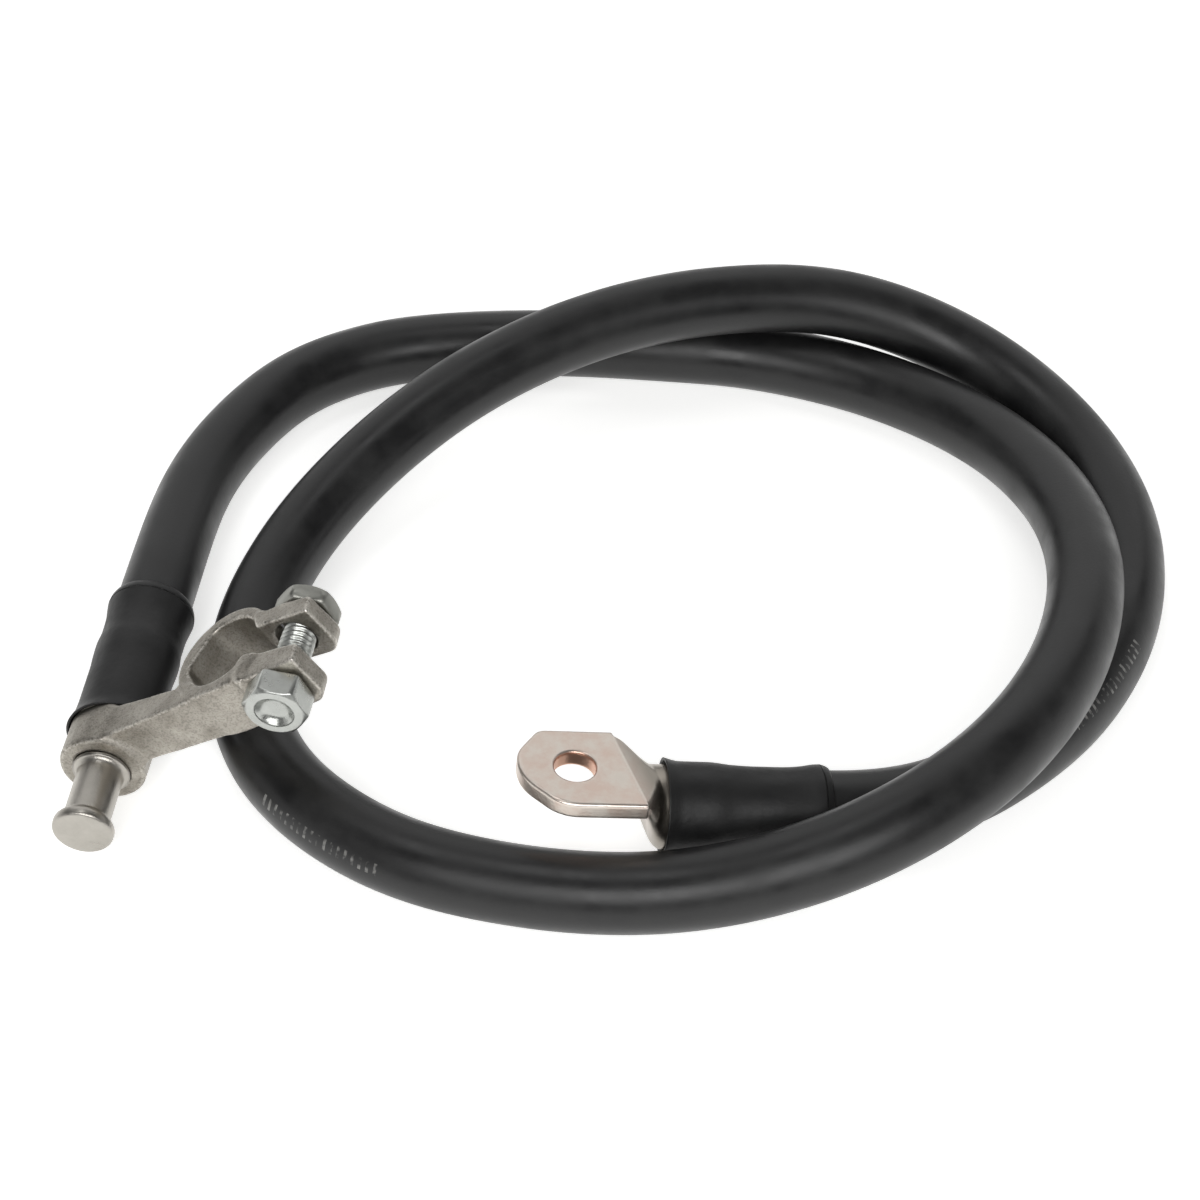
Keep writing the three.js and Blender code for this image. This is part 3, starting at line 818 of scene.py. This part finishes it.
def jacketRubber():
    # Extruded chlorinated rubber: deep charcoal with a soft sheen, clouded where dust and handling dulled it
    material, tree = newMaterial("extruded_rubber_jacket")
    place = add(tree, "ShaderNodeTexCoord").outputs["Object"]
    cloud = add(tree, "ShaderNodeTexNoise",
                {"in:Scale": perMetre(13), "in:Detail": 6.0, "in:Roughness": 0.62}, Vector=place)
    fine = add(tree, "ShaderNodeTexNoise", {"in:Scale": perMetre(0.8), "in:Detail": 3.0}, Vector=place)
    shade = add(tree, "ShaderNodeMapRange",
                {"in:From Min": 0.35, "in:From Max": 0.68}, Value=cloud.outputs["Fac"])
    base = add(tree, "ShaderNodeMix",
               {"data_type": "RGBA", "in:6": linear("#121213"), "in:7": linear("#232323")},
               i0=shade.outputs[0])
    rough = add(tree, "ShaderNodeMapRange", {"in:From Min": 0.3, "in:From Max": 0.7, "in:To Min": 0.28,
                                             "in:To Max": 0.5}, Value=cloud.outputs["Fac"])
    # Two worn rows of plain tick marks, placed by the jacket's own UV map in millimetres
    along = add(tree, "ShaderNodeSeparateXYZ", None,
                Vector=add(tree, "ShaderNodeUVMap", {"uv_map": "jacket"}).outputs["UV"])
    ticks = None
    for start, end, arc in tickRows:
        middle = (start + end) / 2
        length = add(tree, "ShaderNodeMath",
                     {"operation": "COMPARE", "in:1": middle, "in:2": (end - start) / 2},
                     i0=along.outputs["Y"])
        band = add(tree, "ShaderNodeMath", {"operation": "COMPARE", "in:1": arc, "in:2": cable["tickReach"]},
                   i0=along.outputs["X"])
        row = add(tree, "ShaderNodeMath", {"operation": "MULTIPLY"}, i0=length.outputs[0], i1=band.outputs[0])
        ticks = row if ticks is None else add(tree, "ShaderNodeMath", {"operation": "ADD"},
                                              i0=ticks.outputs[0], i1=row.outputs[0])
    beat = add(tree, "ShaderNodeMath", {"operation": "WRAP", "in:1": cable["tickPitch"], "in:2": 0.0},
               i0=along.outputs["Y"])
    mark = add(tree, "ShaderNodeMath", {"operation": "LESS_THAN", "in:1": cable["tickWidth"]},
               i0=beat.outputs[0])
    worn = add(tree, "ShaderNodeTexNoise", {"in:Scale": perMetre(2.2), "in:Detail": 3.0}, Vector=place)
    left = add(tree, "ShaderNodeMapRange", {"in:From Min": 0.44, "in:From Max": 0.6, "in:To Max": 0.75},
               Value=worn.outputs["Fac"])
    ink = add(tree, "ShaderNodeMath", {"operation": "MULTIPLY"}, i0=mark.outputs[0], i1=ticks.outputs[0])
    ink = add(tree, "ShaderNodeMath", {"operation": "MULTIPLY"}, i0=ink.outputs[0], i1=left.outputs[0])
    printed = add(tree, "ShaderNodeMix", {"data_type": "RGBA", "in:7": linear("#8c8b88")}, i0=ink.outputs[0],
                  i6=base.outputs[2])
    bump = add(tree, "ShaderNodeBump",
               {"in:Strength": 0.1, "in:Distance": 0.0002}, Height=fine.outputs["Fac"])
    shader = add(tree, "ShaderNodeBsdfPrincipled", {"in:IOR": 1.5}, Base_Color=printed.outputs[2],
                 Roughness=rough.outputs[0], Normal=bump.outputs["Normal"])
    finishMaterial(tree, shader)
    return material


def shrinkTube():
    # Heat-shrunk polyolefin: flatter and blacker than the jacket, faintly scuffed
    material, tree = newMaterial("shrunk_polyolefin")
    place = add(tree, "ShaderNodeTexCoord").outputs["Object"]
    cloud = add(tree, "ShaderNodeTexNoise", {"in:Scale": perMetre(8), "in:Detail": 6.0, "in:Roughness": 0.65},
                Vector=place)
    fine = add(tree, "ShaderNodeTexNoise", {"in:Scale": perMetre(1.3), "in:Detail": 4.0}, Vector=place)
    base = add(tree, "ShaderNodeMix",
               {"data_type": "RGBA", "in:6": linear("#0d0d0e"), "in:7": linear("#1a1a1a")},
               i0=cloud.outputs["Fac"])
    rough = add(tree, "ShaderNodeMapRange", {"in:From Min": 0.3, "in:From Max": 0.7, "in:To Min": 0.42,
                                             "in:To Max": 0.6}, Value=cloud.outputs["Fac"])
    bump = add(tree, "ShaderNodeBump",
               {"in:Strength": 0.2, "in:Distance": 0.0003}, Height=fine.outputs["Fac"])
    shader = add(tree, "ShaderNodeBsdfPrincipled", {"in:IOR": 1.5}, Base_Color=base.outputs[2],
                 Roughness=rough.outputs[0], Normal=bump.outputs["Normal"])
    finishMaterial(tree, shader)
    return material


def castMetal():
    # Tinned brass casting: warm grey with the sand's fine grain, its edges rubbed bright
    material, tree = newMaterial("tinned_brass_casting")
    place = add(tree, "ShaderNodeTexCoord").outputs["Object"]
    wear = add(tree, "ShaderNodeAttribute", {"attribute_name": "wear"})
    cloud = add(tree, "ShaderNodeTexNoise", {"in:Scale": perMetre(6), "in:Detail": 6.0, "in:Roughness": 0.6},
                Vector=place)
    grain = add(tree, "ShaderNodeTexNoise",
                {"in:Scale": perMetre(0.5), "in:Detail": 3.0, "in:Roughness": 0.6}, Vector=place)
    spread = add(tree, "ShaderNodeMapRange",
                 {"in:From Min": 0.35, "in:From Max": 0.68}, Value=cloud.outputs["Fac"])
    dull = add(tree, "ShaderNodeMix",
               {"data_type": "RGBA", "in:6": linear("#928d84"), "in:7": linear("#b6b1a8")},
               i0=spread.outputs[0])
    pits = add(tree, "ShaderNodeMapRange", {"in:From Min": 0.36, "in:From Max": 0.52, "in:To Min": 0.72},
               Value=grain.outputs["Fac"])
    speckled = add(tree, "ShaderNodeMix",
                   {"data_type": "RGBA", "blend_type": "MULTIPLY", "in:0": 1.0},
                   i6=dull.outputs[2], i7=pits.outputs[0])
    edge = add(tree, "ShaderNodeMath", {"operation": "MULTIPLY_ADD", "in:1": 0.6, "in:2": -0.2},
               i0=grain.outputs["Fac"])
    rubbed = add(tree, "ShaderNodeMath", {"operation": "ADD"}, i0=wear.outputs["Fac"], i1=edge.outputs[0])
    mask = add(tree, "ShaderNodeMapRange",
               {"in:From Min": 0.28, "in:From Max": 0.62}, Value=rubbed.outputs[0])
    base = add(tree, "ShaderNodeMix", {"data_type": "RGBA", "in:7": linear("#dedad2")}, i0=mask.outputs[0],
               i6=speckled.outputs[2])
    rough = add(tree, "ShaderNodeMapRange", {"in:To Min": 0.44, "in:To Max": 0.3}, Value=mask.outputs[0])
    bump = add(tree, "ShaderNodeBump",
               {"in:Strength": 0.5, "in:Distance": 0.0002}, Height=grain.outputs["Fac"])
    shader = add(tree, "ShaderNodeBsdfPrincipled", {"in:Metallic": 1.0}, Base_Color=base.outputs[2],
                 Roughness=rough.outputs[0], Normal=bump.outputs["Normal"])
    finishMaterial(tree, shader)
    return material


def turnedMetal():
    # Turned and tinned brass: a grey satin, smoother than the casting
    material, tree = newMaterial("turned_tinned_brass")
    place = add(tree, "ShaderNodeTexCoord").outputs["Object"]
    cloud = add(tree, "ShaderNodeTexNoise", {"in:Scale": perMetre(4), "in:Detail": 6.0, "in:Roughness": 0.65},
                Vector=place)
    grain = add(tree, "ShaderNodeTexNoise", {"in:Scale": perMetre(0.4), "in:Detail": 3.0}, Vector=place)
    base = add(tree, "ShaderNodeMix",
               {"data_type": "RGBA", "in:6": linear("#99958d"), "in:7": linear("#c4c0b9")},
               i0=cloud.outputs["Fac"])
    rough = add(tree, "ShaderNodeMapRange", {"in:From Min": 0.3, "in:From Max": 0.7, "in:To Min": 0.27,
                                             "in:To Max": 0.42}, Value=cloud.outputs["Fac"])
    bump = add(tree, "ShaderNodeBump",
               {"in:Strength": 0.3, "in:Distance": 0.00015}, Height=grain.outputs["Fac"])
    shader = add(tree, "ShaderNodeBsdfPrincipled", {"in:Metallic": 1.0}, Base_Color=base.outputs[2],
                 Roughness=rough.outputs[0], Normal=bump.outputs["Normal"])
    finishMaterial(tree, shader)
    return material


def zincPlate(name, dark, light, smoothest):
    # Zinc plate on steel: cool and pale with a fine, slightly cloudy sheen. The nut's copy is rougher, and
    # its darker colour is painted shade
    material, tree = newMaterial(name)
    place = add(tree, "ShaderNodeTexCoord").outputs["Object"]
    cloud = add(tree, "ShaderNodeTexNoise",
                {"in:Scale": perMetre(2.5), "in:Detail": 5.0, "in:Roughness": 0.6}, Vector=place)
    grain = add(tree, "ShaderNodeTexNoise", {"in:Scale": perMetre(0.5), "in:Detail": 3.0}, Vector=place)
    base = add(tree, "ShaderNodeMix", {"data_type": "RGBA", "in:6": linear(dark), "in:7": linear(light)},
               i0=cloud.outputs["Fac"])
    rough = add(tree, "ShaderNodeMapRange", {"in:From Min": 0.3, "in:From Max": 0.7, "in:To Min": smoothest,
                                             "in:To Max": smoothest + 0.12}, Value=cloud.outputs["Fac"])
    bump = add(tree, "ShaderNodeBump",
               {"in:Strength": 0.3, "in:Distance": 0.0001}, Height=grain.outputs["Fac"])
    shader = add(tree, "ShaderNodeBsdfPrincipled", {"in:Metallic": 1.0}, Base_Color=base.outputs[2],
                 Roughness=rough.outputs[0], Normal=bump.outputs["Normal"])
    finishMaterial(tree, shader)
    return material


def tinnedCopper():
    # Electro-tinned copper: pale satin, blotched pink where the tin is thin, darker over the neck, with the
    # copper showing in the hole
    material, tree = newMaterial("electro_tinned_copper")
    place = add(tree, "ShaderNodeTexCoord").outputs["Object"]
    wear = add(tree, "ShaderNodeAttribute", {"attribute_name": "wear"})
    bare = add(tree, "ShaderNodeAttribute", {"attribute_name": "copper"})
    neck = add(tree, "ShaderNodeAttribute", {"attribute_name": "neck"})
    cloud = add(tree, "ShaderNodeTexNoise", {"in:Scale": perMetre(5), "in:Detail": 6.0, "in:Roughness": 0.62},
                Vector=place)
    grain = add(tree, "ShaderNodeTexNoise", {"in:Scale": perMetre(0.6), "in:Detail": 3.0}, Vector=place)
    spread = add(tree, "ShaderNodeMapRange",
                 {"in:From Min": 0.38, "in:From Max": 0.62}, Value=cloud.outputs["Fac"])
    tin = add(tree, "ShaderNodeMix",
              {"data_type": "RGBA", "in:6": linear("#d2bfb3"), "in:7": linear("#ddd4ca")},
              i0=spread.outputs[0])
    pressed = add(tree, "ShaderNodeMix",
                  {"data_type": "RGBA", "in:7": linear("#a8a197")}, i0=neck.outputs["Fac"], i6=tin.outputs[2])
    edged = add(tree, "ShaderNodeMix",
                {"data_type": "RGBA", "in:7": linear("#f0ece5")},
                i0=wear.outputs["Fac"], i6=pressed.outputs[2])
    base = add(tree, "ShaderNodeMix",
               {"data_type": "RGBA", "in:7": linear("#d8ae98")}, i0=bare.outputs["Fac"], i6=edged.outputs[2])
    rough = add(tree, "ShaderNodeMapRange", {"in:From Min": 0.3, "in:From Max": 0.7, "in:To Min": 0.28,
                                             "in:To Max": 0.4}, Value=cloud.outputs["Fac"])
    bump = add(tree, "ShaderNodeBump",
               {"in:Strength": 0.25, "in:Distance": 0.00012}, Height=grain.outputs["Fac"])
    shader = add(tree, "ShaderNodeBsdfPrincipled", {"in:Metallic": 1.0}, Base_Color=base.outputs[2],
                 Roughness=rough.outputs[0], Normal=bump.outputs["Normal"])
    finishMaterial(tree, shader)
    return material


def dress(material, *pieces):
    # Gives the pieces this material alone
    for piece in pieces:
        piece.data.materials.clear()
        piece.data.materials.append(material)


dress(jacketRubber(), cablePiece)
dress(shrinkTube(), clampSleevePiece, lugSleevePiece)
dress(castMetal(), clampPiece)
dress(turnedMetal(), studPiece)
dress(zincPlate("bright_zinc_plate", "#a3a5a1", "#c3c5c1", 0.24), boltPiece)
# The nut's zinc is a darker copy of the bolt's: painted shade where the nut sits behind the far ear, with a
# rougher finish as well
dress(zincPlate("rougher_zinc_painted_shade", "#85857f", "#a5a59f", 0.34), nutPiece)
dress(tinnedCopper(), lugPiece)
print("materials made")


# Floor and studio light

studio = {
    "floor": "#fafaf9",
    "floorSize": 6000.0,
    "floorGlow": 0.62,  # light that the paper adds of its own, as a lit table does
    "world": 0.14,
    "aim": (30.0, 50.0, 0.0),
    "card": (900.0, 320.0),
    "cardLight": 0.55,
    "cardRing": 950.0,  # the low cards' distance from the aim
    "cardHeight": 190.0,
    "cardAngles": (-10, 40, 90, 140, 190),
}

# Softboxes: name, place, width and depth, radiance
softboxes = [
    ("front_box", (0, -640, 560), (760, 420), 4.2),
    ("top_box", (-150, 150, 900), (420, 260), 2.4),
    ("back_box", (30, 760, 620), (1500, 620), 0.8),
]


def addFloor():
    half = studio["floorSize"] / 2
    points = np.array([(-half, -half, 0), (half, -half, 0), (half, half, 0), (-half, half, 0)], float)
    floor = meshObject("studio_floor", points, np.array([[0, 1, 2, 3]]), clean=False)
    material, tree = newMaterial("studio_paper")
    white = linear(studio["floor"])
    shader = add(tree, "ShaderNodeBsdfPrincipled", {"in:Base Color": white, "in:Roughness": 0.9,
                                                    "in:Emission Color": white,
                                                    "in:Emission Strength": studio["floorGlow"]})
    finishMaterial(tree, shader)
    dress(material, floor)


def addSoftbox(name, place, aim, size, radiance):
    # An area light's power is pi times its area times its radiance
    data = bpy.data.lights.new(name, "AREA")
    data.shape = "RECTANGLE"
    data.size, data.size_y = size[0] * metres, size[1] * metres
    data.energy = math.pi * data.size * data.size_y * radiance
    lamp = bpy.data.objects.new(name, data)
    bpy.context.collection.objects.link(lamp)
    place, aim = np.array(place, float), np.array(aim, float)
    lamp.location = place * metres
    towards = unit(aim - place)
    lamp.rotation_euler = (math.acos(-towards[2]), 0.0, math.atan2(towards[1], towards[0]) - math.pi / 2)


def addWorld():
    world = bpy.data.worlds.new("studio_air")
    world.use_nodes = True
    background = world.node_tree.nodes["Background"]
    background.inputs["Color"].default_value = (1.0, 1.0, 1.0, 1.0)
    background.inputs["Strength"].default_value = studio["world"]
    bpy.context.scene.world = world


addFloor()
addWorld()
for name, place, size, radiance in softboxes:
    addSoftbox(name, place, studio["aim"], size, radiance)
# A ring of low cards, whose light the metal picks up at its edges
for number, angle in enumerate(np.radians(studio["cardAngles"])):
    spot = np.array([math.cos(angle), math.sin(angle), 0.0]) * studio["cardRing"] + studio["aim"]
    addSoftbox("card_%d" % number, spot + (0, 0, studio["cardHeight"]), np.add(studio["aim"], (0, 0, 20)),
               studio["card"], studio["cardLight"])
bpy.context.scene.view_settings.view_transform = "Standard"
print("studio lit")
